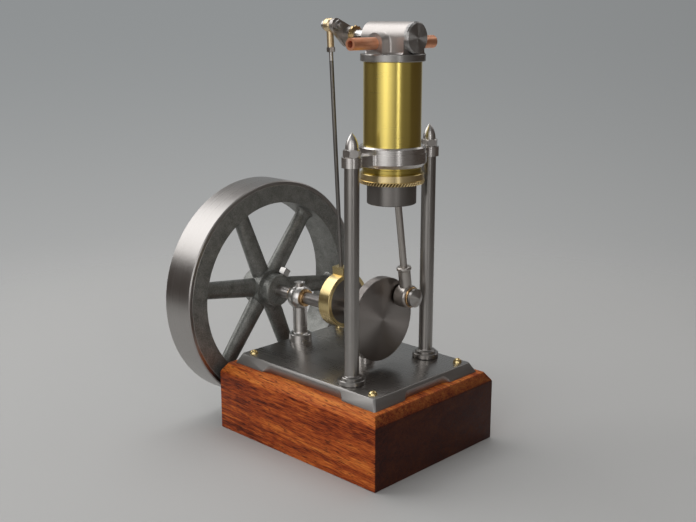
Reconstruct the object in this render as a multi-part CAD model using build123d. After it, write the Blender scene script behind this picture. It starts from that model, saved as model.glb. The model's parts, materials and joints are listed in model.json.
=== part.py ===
from build123d import *
import math
import os

# Model vertical steam engine on a wooden block, in millimetres.
# X runs along the crankshaft, Y across it, Z up. The origin is under the middle of the wooden base.

# Fits and edges
running_clearance = 0.05
open_gap = 0.35
edge_break = 0.4

# Wooden base
base_length = 140.3
base_width = 111.6
base_height = 45.6
base_bevel_inset = 4.1
base_bevel_drop = 6.0

# Base plate
plate_margin = 3.05
plate_thickness = 6.4
plate_side_inset = 3.55
plate_recess_depth = 2.6
plate_corner_block = 27.0
plate_corner_break = 1.0
plate_cutter_radius = 7.0

# Columns and finial nuts
engine_x = 31.0
column_spacing = 69.2
column_diameter = 9.0
column_ring_step = 2.1
column_ring_height = 1.6
column_foot_step = 1.9
column_foot_height = 3.2
column_cove = 0.9
stud_diameter = 5.0
stud_depth_share = 0.8
finial_hex_across = 9.4
finial_hex_height = 4.5
finial_shoulder = 0.75
finial_height = 9.6
ogive_share = 0.58

# Cylinder
bore_diameter = 25.4
liner_wall = 2.3
liner_skirt = 13.4
jacket_wall = 2.3
head_clearance = 7.4
ring_nut_gap = 0.9
ring_nut_wall = 1.95
ring_nut_flange_step = 0.65
ring_nut_flange_height = 2.4
ring_nut_band_height = 3.9
ring_nut_groove_width = 0.5
ring_nut_groove_wall = 1.1
ring_nut_neck_wall = 1.5
ring_nut_neck_height = 2.7
ring_nut_hook = 0.8
cover_overhang = 2.0
cover_thickness = 4.3
cover_spigot = 1.6

# Yoke that carries the cylinder
yoke_below_top = 53.1
yoke_thickness = 6.0
yoke_wall = 3.5
yoke_lip_wall = 2.9
yoke_lip_height = 3.9
yoke_lip_bevel = 0.9
yoke_step_wall = 1.7
yoke_step_height = 2.2
yoke_ear_wall = 1.6
yoke_arm_width = 7.6
yoke_neck_round = 3.0

# Valve chest, end cap and pipes
spindle_diameter = 8.6
spindle_front_gap = 1.0
chest_wall = 4.9
chest_flare = 1.6
chest_cove = 1.2
chest_back_reach = 17.0
chest_block_reach = 13.1
chest_front_reach = 16.2
valve_rise = 9.2
cap_thickness = 2.9
cap_bevel = 0.9
pipe_rise = 6.1
steam_pipe_diameter = 7.1
exhaust_pipe_diameter = 7.7
pipe_wall = 1.5
pipe_reach = 36.0
pipe_spigot_depth = 6.0
boss_diameter = 12.2
boss_reach = 16.2
port_diameter = 4.0

# Crankshaft line
crank_throw = 20.2
crank_angle = 48.0
crank_clearance = 3.6
crank_gap = 0.6
shaft_diameter = 8.0
shaft_proud = 0.8
disc_edge = 6.6
disc_thickness = 6.0
disc_bore_depth = 4.0

# Flywheel
wheel_diameter = 152.4
wheel_width = 25.4
wheel_gap = 3.85
rim_depth = 14.8
rim_edge_break = 0.7
hub_wall = 7.2
hub_front_proud = 2.2
hub_back_proud = 0.4
hub_round = 1.6
hub_core_step = 2.3
hub_core_width = 15.0
spoke_count = 6
spoke_first_angle = -8.0
spoke_hub_width = 13.4
spoke_rim_width = 11.4
spoke_thickness_share = 0.76
spoke_flare = 4.0
spoke_flare_shares = (0.0, 0.45, 0.75, 0.95)
set_screw_side = 5.0
set_screw_neck_diameter = 3.4
set_screw_inset = 4.4
set_screw_head_height = 5.0
set_screw_stand = 0.4

# Bearing pedestals
pedestal_inset = 11.5
pedestal_side_gap = 4.5
pedestal_foot_diameter = 15.3
pedestal_foot_height = 5.6
pedestal_post_diameter = 9.7
pedestal_cove = 1.6
pedestal_ball_wall = 3.3
pedestal_ball_width = 10.6
bush_wall = 1.3
bush_flange_step = 0.5
bush_flange_thickness = 1.7
bush_length = 6.6
oil_cup_rise = 10.0
oil_cup_diameter = 7.6
oil_cup_height = 2.4
oil_cup_stem_diameter = 5.0
oil_hole_diameter = 2.4

# Eccentric, strap and valve rod
sheave_gap = 6.5
eccentric_throw = 6.0
eccentric_angle = 0.0
sheave_wall = 5.0
strap_wall = 2.8
strap_width = 9.4
lug_width = 6.5
lug_height = 5.8
lug_sink = 1.2
valve_rod_diameter = 2.6
valve_rod_sink = 4.0
lock_nut_across = 4.6
lock_nut_height = 3.0
rod_end_diameter = 8.2
rod_end_width = 6.2
rod_end_round = 1.8
rod_end_shank_diameter = 4.2
rod_end_shank_length = 13.0
lever_pin_diameter = 3.0
lever_pin_head_diameter = 5.6
lever_pin_head_height = 1.5

# Valve lever
lever_length = 12.6
lever_angle = 32.7
lever_thickness = 2.5
lever_wall = 2.0
lever_small_diameter = 8.2
lever_boss_wall = 1.7
lever_boss_length = 4.9
collar_wall = 1.7
collar_tooth_count = 14
collar_tooth_height = 0.7
collar_width = 1.2
lever_nut_across = 5.6
lever_nut_height = 2.2
lever_stub_length = 1.4

# Piston and connecting rod
connecting_rod_length = 102.0
piston_crown_rise = 30.0
piston_skirt_drop = 10.0
piston_wall = 3.15
piston_cavity_rise = 8.0
gudgeon_diameter = 5.0
gudgeon_end_gap = 1.2
small_end_wall = 2.5
small_end_width = 8.0
rod_diameter = 4.4
rod_bead_diameter = 9.3
rod_bead_height = 2.6
rod_bead_round = 1.0
rod_bead_rise = 17.3
rod_neck_diameter = 7.8
crank_pin_diameter = 8.0
big_end_bush_wall = 1.2
big_end_wall = 2.3
big_end_round = 1.8
big_end_back_reach = 5.4
big_end_front_reach = 4.3
big_end_flange_step = 1.3
big_end_flange_thickness = 1.3
crank_pin_cap_step = 1.9
crank_pin_cap_gap = 0.5
crank_pin_cap_width = 2.0
crank_pin_cone_height = 2.8

# Diameters that follow from the walls
column_ring_diameter = column_diameter + 2 * column_ring_step
column_foot_diameter = column_ring_diameter + 2 * column_foot_step
liner_diameter = bore_diameter + 2 * liner_wall
jacket_diameter = liner_diameter + 2 * jacket_wall
ring_nut_diameter = jacket_diameter + 2 * ring_nut_wall
cover_diameter = jacket_diameter + 2 * cover_overhang
chest_diameter = spindle_diameter + 2 * chest_wall
hub_diameter = shaft_diameter + 2 * hub_wall
rim_inner_diameter = wheel_diameter - 2 * rim_depth
bush_diameter = shaft_diameter + 2 * bush_wall
sheave_diameter = shaft_diameter + 2 * (eccentric_throw + sheave_wall)
strap_diameter = sheave_diameter + 2 * strap_wall
big_end_bush_diameter = crank_pin_diameter + 2 * big_end_bush_wall
big_end_diameter = big_end_bush_diameter + 2 * big_end_wall
disc_diameter = 2 * (crank_throw + disc_edge)

# Heights that follow from the sizes
plate_top = base_height + plate_thickness
shaft_height = plate_top + crank_clearance + crank_throw + big_end_diameter / 2
cylinder_top = shaft_height + crank_throw + connecting_rod_length + piston_crown_rise + head_clearance
cover_top = cylinder_top + cover_thickness
yoke_top = cylinder_top - yoke_below_top
yoke_bottom = yoke_top - yoke_thickness
yoke_step_bottom = yoke_bottom - yoke_step_height
ring_nut_neck_bottom = yoke_step_bottom - ring_nut_gap - ring_nut_neck_height
ring_nut_band_top = ring_nut_neck_bottom - ring_nut_groove_width
ring_nut_flange_top = ring_nut_band_top - ring_nut_band_height
ring_nut_bottom = ring_nut_flange_top - ring_nut_flange_height
jacket_bottom = ring_nut_bottom + ring_nut_hook
liner_bottom = jacket_bottom - liner_skirt
stud_top = yoke_top + stud_depth_share * finial_hex_height
valve_height = cover_top + valve_rise
pipe_height = cover_top + pipe_rise

# Places along the shaft
plate_length = base_length - 2 * (base_bevel_inset + plate_margin)
plate_width = base_width - 2 * (base_bevel_inset + plate_margin)
big_end_back = engine_x - big_end_back_reach
big_end_front = engine_x + big_end_front_reach
disc_face = big_end_back - crank_gap
disc_back = disc_face - disc_thickness
inner_pedestal_x = disc_back - pedestal_side_gap - bush_flange_thickness - pedestal_ball_width / 2
outer_pedestal_x = pedestal_inset - plate_length / 2
inner_bush_end = inner_pedestal_x - pedestal_ball_width / 2 - bush_flange_thickness
rod_plane_x = inner_bush_end - sheave_gap - strap_width / 2
wheel_face = -base_length / 2 - wheel_gap
wheel_middle = wheel_face - wheel_width / 2
hub_front = wheel_face + hub_front_proud
hub_back = wheel_face - wheel_width - hub_back_proud
chest_back = engine_x - chest_back_reach
chest_front = engine_x + chest_front_reach
lever_back = rod_plane_x + rod_end_width / 2 + open_gap
lever_front = lever_back + lever_thickness
collar_back = lever_front + lever_boss_length

# The crank and the valve gear at rest
crank_pin_y = crank_throw * math.sin(math.radians(crank_angle))
crank_pin_z = shaft_height + crank_throw * math.cos(math.radians(crank_angle))
rod_tilt = math.degrees(math.asin(crank_pin_y / connecting_rod_length))
gudgeon_z = crank_pin_z + connecting_rod_length * math.cos(math.radians(rod_tilt))
sheave_y = eccentric_throw * math.sin(math.radians(eccentric_angle))
sheave_z = shaft_height + eccentric_throw * math.cos(math.radians(eccentric_angle))
lever_pin_y = -lever_length * math.cos(math.radians(lever_angle))
lever_pin_z = valve_height + lever_length * math.sin(math.radians(lever_angle))
valve_rod_length = math.hypot(lever_pin_y - sheave_y, lever_pin_z - sheave_z)
valve_rod_tilt = math.degrees(math.atan2(sheave_y - lever_pin_y, lever_pin_z - sheave_z))
lug_top = strap_diameter / 2 - lug_sink + lug_height
rod_end_bottom = valve_rod_length - rod_end_shank_length

UPWARD = (Align.CENTER, Align.CENTER, Align.MIN)


def bar_x(diameter, x_from, x_to, y, z):
    return Pos(x_from, y, z) * Rot(0, 90, 0) * Cylinder(diameter / 2, x_to - x_from, align=UPWARD)


def bar_y(diameter, y_from, y_to, x, z):
    return Pos(x, y_from, z) * Rot(-90, 0, 0) * Cylinder(diameter / 2, y_to - y_from, align=UPWARD)


def bar_z(diameter, z_from, z_to, x, y):
    return Pos(x, y, z_from) * Cylinder(diameter / 2, z_to - z_from, align=UPWARD)


def edges_broken(shape, size):
    return chamfer(shape.edges().filter_by(GeomType.CIRCLE), size)


def hex_prism(across, height):
    return extrude(RegularPolygon(across / 2, 6, major_radius=False), height)


def hex_nut(across, height):
    corner = across / math.sqrt(3)
    blank = edges_broken(Cylinder(corner, height, align=UPWARD), corner - across / 2)
    return hex_prism(across, height) & blank


def wooden_base():
    shoulder = base_height - base_bevel_drop
    block = Box(base_length, base_width, shoulder, align=UPWARD)
    foot = Pos(0, 0, shoulder) * Rectangle(base_length, base_width)
    top = Pos(0, 0, base_height) * Rectangle(base_length - 2 * base_bevel_inset,
                                             base_width - 2 * base_bevel_inset)
    return block + loft([foot, top])


def recess_cutter(side_length):
    overrun = math.sqrt(plate_cutter_radius ** 2 - (plate_cutter_radius - plate_recess_depth) ** 2)
    length = side_length - 2 * (plate_corner_block - plate_cutter_radius + overrun)
    return extrude(RectangleRounded(length, 2 * plate_cutter_radius + plate_recess_depth,
                                    plate_cutter_radius), plate_thickness)


def base_plate():
    bottom = Pos(0, 0, base_height) * Rectangle(plate_length, plate_width)
    top = Pos(0, 0, plate_top) * Rectangle(plate_length - 2 * plate_side_inset,
                                           plate_width - 2 * plate_side_inset)
    plate = loft([bottom, top])
    slanted = [edge for edge in plate.edges() if abs(edge.tangent_at(0).Z) > 0]
    plate = chamfer(slanted, plate_corner_break)
    set_out = plate_cutter_radius - plate_recess_depth / 2
    for side in (-1, 1):
        plate -= Pos(0, side * (plate_width / 2 + set_out), base_height) * recess_cutter(plate_length)
        plate -= (Pos(side * (plate_length / 2 + set_out), 0, base_height) * Rot(0, 0, 90)
                  * recess_cutter(plate_width))
    return plate


def coved(shape, level, radius):
    inner_corner = shape.edges().filter_by(GeomType.CIRCLE).group_by(Axis.Z)[level].sort_by(SortBy.RADIUS)[0]
    return fillet(inner_corner, radius)


def column(side):
    y = side * column_spacing / 2
    foot_top = plate_top + column_foot_height
    ring_top = foot_top + column_ring_height
    ring = bar_z(column_ring_diameter, foot_top, ring_top, engine_x, y)
    ring = chamfer(ring.edges().group_by(Axis.Z)[-1], edge_break)
    post = coved(ring + bar_z(column_diameter, foot_top, yoke_bottom, engine_x, y), 2, column_cove)
    foot = edges_broken(bar_z(column_foot_diameter, plate_top, foot_top, engine_x, y), edge_break)
    return foot + post + bar_z(stud_diameter, yoke_bottom, stud_top, engine_x, y)


def ogive(diameter, height):
    radius = diameter / 2
    outline = [Line((0, 0, 0), (radius, 0, 0)),
               Bezier((radius, 0, 0), (radius, 0, ogive_share * height), (0, 0, height)),
               Line((0, 0, height), (0, 0, 0))]
    return revolve(make_face(outline), Axis.Z)


def finial(side):
    nut = hex_nut(finial_hex_across, finial_hex_height)
    nut += Pos(0, 0, finial_hex_height) * ogive(finial_hex_across - 2 * finial_shoulder, finial_height)
    nut = Pos(engine_x, side * column_spacing / 2, yoke_top) * nut
    return nut - bar_z(stud_diameter, yoke_top, stud_top, engine_x, side * column_spacing / 2)


def yoke_outline():
    ring_radius = jacket_diameter / 2 + yoke_wall
    ear_radius = column_diameter / 2 + yoke_ear_wall
    outline = Circle(ring_radius) + Rectangle(yoke_arm_width, column_spacing)
    for side in (-1, 1):
        outline += Pos(0, side * column_spacing / 2) * Circle(ear_radius)
    neck_end = (ring_radius + column_spacing / 2) / 2
    necks = [corner for corner in outline.vertices()
             if abs(corner.Y) < neck_end and abs(corner.X) > yoke_arm_width / 4]
    return fillet(necks, yoke_neck_round)


def yoke():
    body = Pos(engine_x, 0, yoke_bottom) * extrude(yoke_outline(), yoke_thickness)
    lip_top = yoke_top + yoke_lip_height
    lip = bar_z(jacket_diameter + 2 * yoke_lip_wall, yoke_bottom, lip_top, engine_x, 0)
    body += chamfer(lip.edges().group_by(Axis.Z)[-1], yoke_lip_bevel)
    jacket_radius = jacket_diameter / 2
    taper = Cone(jacket_radius + yoke_step_wall, jacket_radius + yoke_wall, yoke_step_height, align=UPWARD)
    body += Pos(engine_x, 0, yoke_step_bottom) * taper
    body -= bar_z(jacket_diameter, yoke_step_bottom, lip_top, engine_x, 0)
    for side in (-1, 1):
        body -= bar_z(stud_diameter, yoke_bottom, yoke_top, engine_x, side * column_spacing / 2)
    return body


def cylinder_liner():
    tube = bar_z(liner_diameter, liner_bottom, cylinder_top, engine_x, 0)
    tube = chamfer(tube.edges().group_by(Axis.Z)[0], edge_break)
    return tube - bar_z(bore_diameter, liner_bottom, cylinder_top, engine_x, 0)


def cylinder_jacket():
    tube = bar_z(jacket_diameter, jacket_bottom, cylinder_top, engine_x, 0)
    return tube - bar_z(liner_diameter, jacket_bottom, cylinder_top, engine_x, 0)


def ring_nut():
    nut_top = ring_nut_neck_bottom + ring_nut_neck_height
    flange_diameter = ring_nut_diameter + 2 * ring_nut_flange_step
    nut = edges_broken(bar_z(flange_diameter, ring_nut_bottom, ring_nut_flange_top, engine_x, 0), edge_break)
    band = bar_z(ring_nut_diameter, ring_nut_bottom, ring_nut_band_top, engine_x, 0)
    nut += chamfer(band.edges().group_by(Axis.Z)[-1], edge_break)
    nut += bar_z(jacket_diameter + 2 * ring_nut_groove_wall, ring_nut_bottom, nut_top, engine_x, 0)
    neck = bar_z(jacket_diameter + 2 * ring_nut_neck_wall, ring_nut_neck_bottom, nut_top, engine_x, 0)
    nut += edges_broken(neck, edge_break)
    nut -= bar_z(liner_diameter, ring_nut_bottom, jacket_bottom, engine_x, 0)
    return nut - bar_z(jacket_diameter, jacket_bottom, nut_top, engine_x, 0)


def cylinder_cover():
    cover = edges_broken(bar_z(cover_diameter, cylinder_top, cover_top, engine_x, 0), edge_break)
    spigot_bottom = cylinder_top - cover_spigot
    cover += bar_z(bore_diameter - 2 * running_clearance, spigot_bottom, cylinder_top, engine_x, 0)
    return cover - bar_z(port_diameter, spigot_bottom, cover_top, engine_x, 0)


def chest_section():
    half = chest_diameter / 2
    foot = half + chest_flare
    outline = [CenterArc((foot, chest_flare), chest_flare, 270, -90),
               Line((half, chest_flare), (half, valve_rise)),
               CenterArc((0, valve_rise), half, 0, 180),
               Line((-half, valve_rise), (-half, chest_flare)),
               CenterArc((-foot, chest_flare), chest_flare, 0, -90),
               Line((-foot, 0), (foot, 0))]
    return make_face(outline)


def pipe_boss():
    half = boss_diameter / 2
    outline = Pos(0, pipe_rise / 2) * Rectangle(boss_diameter, pipe_rise) + Pos(0, pipe_rise) * Circle(half)
    outline &= Pos(0, pipe_rise) * Rectangle(boss_diameter, 2 * pipe_rise)
    across = Plane((engine_x, boss_reach, cover_top), x_dir=(1, 0, 0), z_dir=(0, -1, 0))
    return extrude(across * outline, 2 * boss_reach)


def chest_coved(chest):
    uprights = sorted(chest.edges().filter_by(Axis.Z),
                      key=lambda edge: math.hypot(edge.center().X - engine_x, edge.center().Y))
    inner_corners = uprights[:4]
    return fillet(inner_corners, chest_cove)


def valve_chest():
    block_back = engine_x - chest_block_reach
    along = Plane((block_back, 0, cover_top), x_dir=(0, 1, 0), z_dir=(1, 0, 0))
    chest = extrude(along * chest_section(), chest_front - block_back)
    chest &= bar_z(cover_diameter, cover_top, valve_height + chest_diameter, engine_x, 0)
    chest += bar_x(chest_diameter, chest_back, chest_front, 0, valve_height)
    chest = chest_coved(chest + pipe_boss())
    chest -= bar_x(spindle_diameter + 2 * running_clearance, chest_back, chest_front, 0, valve_height)
    chest -= bar_z(port_diameter, cover_top, valve_height, engine_x, 0)
    for side, diameter in ((-1, steam_pipe_diameter), (1, exhaust_pipe_diameter)):
        inner = side * (boss_reach - pipe_spigot_depth)
        chest -= bar_y(diameter - pipe_wall, *sorted((inner, side * boss_reach)), engine_x, pipe_height)
        chest -= bar_y(diameter - 2 * pipe_wall, *sorted((0, inner)), engine_x, pipe_height)
    return chest


def valve_end_cap():
    cap = bar_x(chest_diameter, chest_front, chest_front + cap_thickness, 0, valve_height)
    return chamfer(cap.edges().group_by(Axis.X)[-1], cap_bevel)


def steam_pipe(side, diameter):
    spigot_end = side * (boss_reach - pipe_spigot_depth)
    pipe = bar_y(diameter, *sorted((side * boss_reach, side * pipe_reach)), engine_x, pipe_height)
    pipe += bar_y(diameter - pipe_wall, *sorted((spigot_end, side * boss_reach)), engine_x, pipe_height)
    bore_ends = sorted((spigot_end, side * pipe_reach))
    return pipe - bar_y(diameter - 2 * pipe_wall, *bore_ends, engine_x, pipe_height)


def pedestal(x):
    foot_top = plate_top + pedestal_foot_height
    foot = bar_z(pedestal_foot_diameter, plate_top, foot_top, x, 0)
    foot = chamfer(foot.edges().group_by(Axis.Z)[-1], edge_break)
    body = coved(foot + bar_z(pedestal_post_diameter, plate_top, shaft_height, x, 0), 2, pedestal_cove)
    ball_diameter = bush_diameter + 2 * pedestal_ball_wall
    body += Pos(x, 0, shaft_height) * (Sphere(ball_diameter / 2)
                                       & Box(pedestal_ball_width, ball_diameter, ball_diameter))
    oil_cup_top = shaft_height + oil_cup_rise
    cup = Cone(oil_cup_stem_diameter / 2, oil_cup_diameter / 2, oil_cup_height, align=UPWARD)
    body += Pos(x, 0, oil_cup_top - oil_cup_height) * cup
    dish = Cone(oil_hole_diameter / 2, oil_cup_stem_diameter / 2, oil_cup_height / 2, align=UPWARD)
    body -= Pos(x, 0, oil_cup_top - oil_cup_height / 2) * dish
    body -= bar_z(oil_hole_diameter, shaft_height, oil_cup_top, x, 0)
    half = pedestal_ball_width / 2
    return body - bar_x(bush_diameter, x - half, x + half, 0, shaft_height)


def bearing_bush(x, side):
    face = x + side * pedestal_ball_width / 2
    end = face + side * bush_flange_thickness
    inner_end = end - side * bush_length
    flange_diameter = bush_diameter + 2 * bush_flange_step
    bush = edges_broken(bar_x(flange_diameter, *sorted((face, end)), 0, shaft_height), edge_break)
    bush += bar_x(bush_diameter, *sorted((inner_end, end)), 0, shaft_height)
    return bush - bar_x(shaft_diameter + 2 * running_clearance, *sorted((inner_end, end)), 0, shaft_height)


def crankshaft():
    shaft = bar_x(shaft_diameter, hub_back - shaft_proud, disc_back + disc_bore_depth, 0, shaft_height)
    return chamfer(shaft.edges().group_by(Axis.X)[0], edge_break)


def crank_disc():
    disc = edges_broken(bar_x(disc_diameter, disc_back, disc_face, 0, shaft_height), edge_break)
    return disc - bar_x(shaft_diameter, disc_back, disc_back + disc_bore_depth, 0, shaft_height)


def eccentric_sheave():
    x_from = rod_plane_x - strap_width / 2
    x_to = rod_plane_x + strap_width / 2
    sheave = bar_x(sheave_diameter, x_from, x_to, sheave_y, sheave_z)
    return sheave - bar_x(shaft_diameter, x_from, x_to, 0, shaft_height)


def spoke_section(reach, width):
    return Plane.XY.offset(reach) * Ellipse(spoke_thickness_share * width / 2, width / 2)


def spoke():
    rim_radius = rim_inner_diameter / 2
    sections = [spoke_section(shaft_diameter, spoke_hub_width)]
    for share in spoke_flare_shares:
        widening = 2 * spoke_flare * (1 - math.sqrt(1 - share ** 2))
        sections.append(spoke_section(rim_radius - (1 - share) * spoke_flare, spoke_rim_width + widening))
    sections.append(spoke_section(rim_radius + spoke_flare, spoke_rim_width + widening))
    return loft(sections, ruled=True)


def flywheel():
    rim = bar_x(wheel_diameter, wheel_face - wheel_width, wheel_face, 0, shaft_height)
    wheel = edges_broken(rim, rim_edge_break)
    wheel -= bar_x(rim_inner_diameter, wheel_face - wheel_width, wheel_face, 0, shaft_height)
    hub = bar_x(hub_diameter, hub_back, hub_front, 0, shaft_height)
    wheel += fillet(hub.edges().filter_by(GeomType.CIRCLE), hub_round)
    core_half = hub_core_width / 2
    wheel += bar_x(hub_diameter + 2 * hub_core_step, wheel_middle - core_half, wheel_middle + core_half,
                   0, shaft_height)
    for number in range(spoke_count):
        turn = spoke_first_angle + number * 360 / spoke_count - 90
        wheel += Pos(wheel_middle, 0, shaft_height) * Rot(turn, 0, 0) * spoke()
    wheel -= bar_x(shaft_diameter, hub_back, hub_front, 0, shaft_height)
    return wheel - set_screw_shank()


def set_screw_place():
    turn = spoke_first_angle + 360 / spoke_count - 90
    return Pos(hub_front - set_screw_inset, 0, shaft_height) * Rot(turn, 0, 0)


def set_screw_shank():
    depth = hub_wall + set_screw_stand
    shank = Cylinder(set_screw_neck_diameter / 2, depth, align=UPWARD)
    return set_screw_place() * Pos(0, 0, shaft_diameter / 2) * shank


def flywheel_set_screw():
    head = Box(set_screw_side, set_screw_side, set_screw_head_height, align=UPWARD)
    head = chamfer(head.edges().group_by(Axis.Z)[-1], edge_break)
    return set_screw_shank() + set_screw_place() * Pos(0, 0, hub_diameter / 2 + set_screw_stand) * head


def on_valve_rod(shape):
    return Pos(rod_plane_x, sheave_y, sheave_z) * Rot(valve_rod_tilt, 0, 0) * shape


def eccentric_strap():
    half = strap_width / 2
    strap = edges_broken(bar_x(strap_diameter, -half, half, 0, 0), edge_break)
    lug = Box(strap_width, lug_width, lug_height, align=UPWARD)
    strap += Pos(0, 0, strap_diameter / 2 - lug_sink) * lug
    strap -= bar_x(sheave_diameter + 2 * running_clearance, -half, half, 0, 0)
    return on_valve_rod(strap - bar_z(valve_rod_diameter, lug_top - valve_rod_sink, lug_top, 0, 0))


def valve_rod():
    return on_valve_rod(bar_z(valve_rod_diameter, lug_top - valve_rod_sink,
                              rod_end_bottom + valve_rod_sink, 0, 0))


def rod_lock_nut():
    nut_bottom = rod_end_bottom - lock_nut_height
    nut = Pos(0, 0, nut_bottom) * hex_nut(lock_nut_across, lock_nut_height)
    return on_valve_rod(nut - bar_z(valve_rod_diameter, nut_bottom, rod_end_bottom, 0, 0))


def rod_end():
    half = rod_end_width / 2
    eye = bar_x(rod_end_diameter, -half, half, 0, valve_rod_length)
    eye = fillet(eye.edges().filter_by(GeomType.CIRCLE), rod_end_round)
    eye += bar_z(rod_end_shank_diameter, rod_end_bottom, valve_rod_length, 0, 0)
    eye -= bar_x(lever_pin_diameter, -half, half, 0, valve_rod_length)
    rod_top = rod_end_bottom + valve_rod_sink
    return on_valve_rod(eye - bar_z(valve_rod_diameter, rod_end_bottom, rod_top, 0, 0))


def lever_pin():
    half = rod_end_width / 2
    head_end = -half - lever_pin_head_height
    pin = bar_x(lever_pin_diameter, head_end, half, 0, valve_rod_length)
    return on_valve_rod(pin + bar_x(lever_pin_head_diameter, head_end, -half, 0, valve_rod_length))


def valve_lever():
    big = Pos(0, valve_height) * Circle(spindle_diameter / 2 + lever_wall)
    small = Pos(lever_pin_y, lever_pin_z) * Circle(lever_small_diameter / 2)
    plate = Plane((lever_back, 0, 0), x_dir=(0, 1, 0), z_dir=(1, 0, 0)) * make_hull((big + small).edges())
    lever = extrude(plate, lever_thickness)
    boss_diameter = spindle_diameter + 2 * lever_boss_wall
    boss = bar_x(boss_diameter, lever_back, collar_back, 0, valve_height)
    lever += chamfer(boss.edges().group_by(Axis.X)[-1], edge_break)
    return lever - bar_x(spindle_diameter, lever_back, collar_back, 0, valve_height)


def lever_collar():
    root = spindle_diameter / 2 + collar_wall
    points = []
    for number in range(2 * collar_tooth_count):
        radius = root + collar_tooth_height * (number % 2)
        turn = math.pi * number / collar_tooth_count
        points.append((radius * math.cos(turn), radius * math.sin(turn)))
    face = Plane((collar_back, 0, valve_height), x_dir=(0, 1, 0), z_dir=(1, 0, 0))
    collar = extrude(face * make_face(Polyline(*points, close=True)), collar_width)
    return collar - bar_x(spindle_diameter, collar_back, collar_back + collar_width, 0, valve_height)


def valve_spindle():
    return bar_x(spindle_diameter, lever_back, chest_front - spindle_front_gap, 0, valve_height)


def lever_nut():
    stub_end = lever_front + lever_nut_height + lever_stub_length
    nut = Rot(0, 90, 0) * hex_nut(lever_nut_across, lever_nut_height)
    nut = Pos(lever_front, lever_pin_y, lever_pin_z) * nut
    stub = bar_x(lever_pin_diameter, lever_front, stub_end, lever_pin_y, lever_pin_z)
    return nut + chamfer(stub.edges().group_by(Axis.X)[-1], edge_break)


def gudgeon_pin():
    half = bore_diameter / 2 - gudgeon_end_gap
    return bar_x(gudgeon_diameter, engine_x - half, engine_x + half, 0, gudgeon_z)


def piston():
    diameter = bore_diameter - 2 * running_clearance
    skirt_bottom = gudgeon_z - piston_skirt_drop
    body = bar_z(diameter, skirt_bottom, gudgeon_z + piston_crown_rise, engine_x, 0)
    cavity = diameter - 2 * piston_wall
    body -= bar_z(cavity, skirt_bottom, gudgeon_z + piston_cavity_rise, engine_x, 0)
    return body - gudgeon_pin()


def on_connecting_rod(shape):
    return Pos(0, 0, gudgeon_z) * Rot(rod_tilt, 0, 0) * shape


def connecting_rod():
    half = small_end_width / 2
    rod = bar_z(rod_diameter, -connecting_rod_length, 0, engine_x, 0)
    rod += bar_x(gudgeon_diameter + 2 * small_end_wall, engine_x - half, engine_x + half, 0, 0)
    neck_top = rod_bead_rise - connecting_rod_length
    rod += bar_z(rod_neck_diameter, -connecting_rod_length, neck_top, engine_x, 0)
    bead = bar_z(rod_bead_diameter, neck_top, neck_top + rod_bead_height, engine_x, 0)
    rod += fillet(bead.edges().filter_by(GeomType.CIRCLE), rod_bead_round)
    big_end = bar_x(big_end_diameter, big_end_back, big_end_front, 0, -connecting_rod_length)
    rod += fillet(big_end.edges().filter_by(GeomType.CIRCLE), big_end_round)
    rod -= bar_x(big_end_bush_diameter, big_end_back, big_end_front, 0, -connecting_rod_length)
    return on_connecting_rod(rod - bar_x(gudgeon_diameter + 2 * running_clearance,
                                         engine_x - half, engine_x + half, 0, 0))


def big_end_bush():
    end = big_end_front + big_end_flange_thickness
    flange_diameter = big_end_bush_diameter + 2 * big_end_flange_step
    bush = bar_x(big_end_bush_diameter, big_end_back, end, 0, -connecting_rod_length)
    bush += edges_broken(bar_x(flange_diameter, big_end_front, end, 0, -connecting_rod_length), edge_break)
    return on_connecting_rod(bush - bar_x(crank_pin_diameter, big_end_back, end, 0, -connecting_rod_length))


def crank_pin():
    cap_start = big_end_front + big_end_flange_thickness + crank_pin_cap_gap
    cap_end = cap_start + crank_pin_cap_width
    cap_diameter = crank_pin_diameter + 2 * crank_pin_cap_step
    pin = bar_x(crank_pin_diameter, big_end_back, cap_start, 0, -connecting_rod_length)
    pin += bar_x(cap_diameter, cap_start, cap_end, 0, -connecting_rod_length)
    cone = Cone(cap_diameter / 2, 0, crank_pin_cone_height, align=UPWARD)
    return on_connecting_rod(pin + Pos(cap_end, 0, -connecting_rod_length) * Rot(0, 90, 0) * cone)


parts = {
    "wooden_base": wooden_base(),
    "base_plate": base_plate(),
    "column_front": column(-1),
    "column_rear": column(1),
    "finial_front": finial(-1),
    "finial_rear": finial(1),
    "yoke": yoke(),
    "cylinder_liner": cylinder_liner(),
    "cylinder_jacket": cylinder_jacket(),
    "ring_nut": ring_nut(),
    "cylinder_cover": cylinder_cover(),
    "valve_chest": valve_chest(),
    "valve_end_cap": valve_end_cap(),
    "steam_pipe": steam_pipe(-1, steam_pipe_diameter),
    "exhaust_pipe": steam_pipe(1, exhaust_pipe_diameter),
    "crankshaft": crankshaft(),
    "crank_disc": crank_disc(),
    "eccentric_sheave": eccentric_sheave(),
    "flywheel": flywheel(),
    "flywheel_set_screw": flywheel_set_screw(),
    "eccentric_strap": eccentric_strap(),
    "valve_rod": valve_rod(),
    "rod_lock_nut": rod_lock_nut(),
    "rod_end": rod_end(),
    "lever_pin": lever_pin(),
    "valve_spindle": valve_spindle(),
    "valve_lever": valve_lever(),
    "lever_collar": lever_collar(),
    "lever_nut": lever_nut(),
    "piston": piston(),
    "gudgeon_pin": gudgeon_pin(),
    "connecting_rod": connecting_rod(),
    "big_end_bush": big_end_bush(),
    "crank_pin": crank_pin(),
}
for place, x in (("outer", outer_pedestal_x), ("inner", inner_pedestal_x)):
    parts["pedestal_" + place] = pedestal(x)
    parts["bush_" + place + "_left"] = bearing_bush(x, -1)
    parts["bush_" + place + "_right"] = bearing_bush(x, 1)

os.makedirs("parts", exist_ok=True)
for name, shape in parts.items():
    export_step(shape, "parts/" + name + ".step")
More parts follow.
